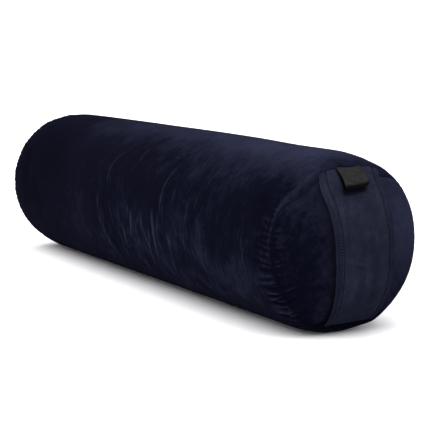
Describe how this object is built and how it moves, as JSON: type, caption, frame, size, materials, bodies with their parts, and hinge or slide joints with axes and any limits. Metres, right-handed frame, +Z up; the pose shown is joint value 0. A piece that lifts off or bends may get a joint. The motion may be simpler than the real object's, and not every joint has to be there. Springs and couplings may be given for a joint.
{
  "type": "yoga bolster",
  "caption": "Long round velvet yoga bolster lying on its side, gathered into a seam at each end, with domed end panels, a wide carrying strap over one of them and a small bare folded label.",
  "frame": {"origin": "on the surface that the bolster lies on, under the middle of its box", "axes": "+X along the bolster to the end with the carrying strap, +Z up"},
  "size_m": [0.7966, 0.1998, 0.1967],
  "materials": {
    "velvet": "brushed cotton velvet, very dark navy, matt with a soft sheen where the pile turns",
    "strap_velvet": "the same navy velvet laid flat over stiff webbing, a little lighter and smoother",
    "woven_label": "close woven black tape with a dull satin surface"
  },
  "bodies": {
    "root": {"tube_body": "velvet", "near_end_panel": "velvet", "far_end_panel": "velvet", "carrying_strap": "strap_velvet", "folded_label": "woven_label"}
  },
  "joints": []
}
